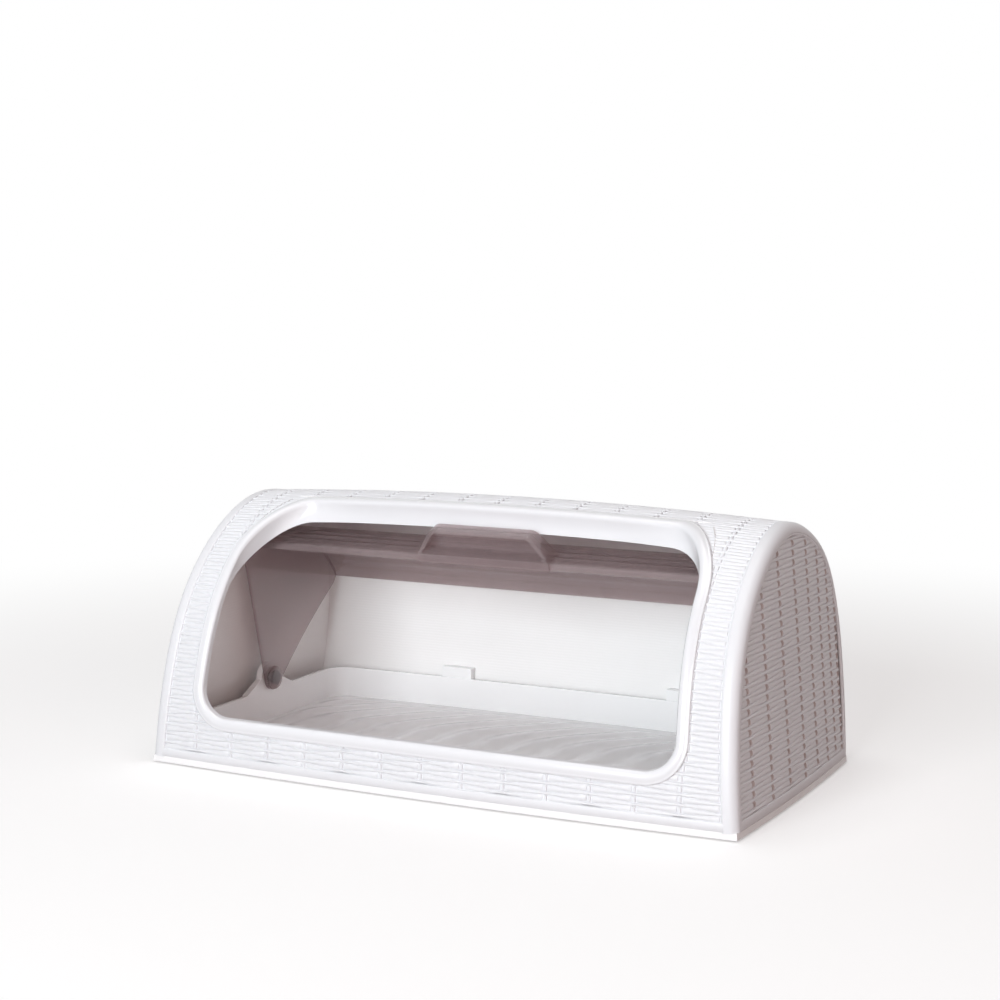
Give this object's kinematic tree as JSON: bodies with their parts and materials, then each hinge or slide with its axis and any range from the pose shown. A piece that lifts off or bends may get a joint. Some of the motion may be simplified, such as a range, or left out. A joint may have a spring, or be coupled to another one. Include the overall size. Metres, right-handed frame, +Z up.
{
  "type": "bread box",
  "caption": "Arched wicker-pattern bread box with a smoked roll-back window lid that turns up inside the cover, a cup handle and a tray base.",
  "frame": {"origin": "centre of the bounding box's footprint, on the surface under the feet", "axes": "+Z up, +X along the width, the opening faces -Y"},
  "size_m": [0.3892, 0.209, 0.1643],
  "materials": {
    "wicker_plastic": "satin white, moulded wicker pattern",
    "frame_plastic": "smooth gloss white",
    "tray_plastic": "gloss white",
    "smoked_plastic": "clear smoked, fluted",
    "smoked_handle": "clear smoked",
    "pin_plastic": "dark smoked",
    "pad_rubber": "matte pale"
  },
  "bodies": {
    "box": {"base_tray": "tray_plastic", "shell": "wicker_plastic", "opening_frame": "frame_plastic", "foot_pad_front_left": "pad_rubber", "foot_pad_front_right": "pad_rubber", "foot_pad_back_left": "pad_rubber", "foot_pad_back_right": "pad_rubber"},
    "window_lid": {"lid": "smoked_plastic", "lid_handle": "smoked_handle", "hinge_pin_left": "pin_plastic", "hinge_pin_right": "pin_plastic"}
  },
  "joints": [
    {"name": "lid_hinge", "type": "hinge", "parent": "box", "child": "window_lid", "pos_m": [0, 0.00758, 0.035], "axis": [1, 0, 0], "range_deg": [0, 71]}
  ]
}
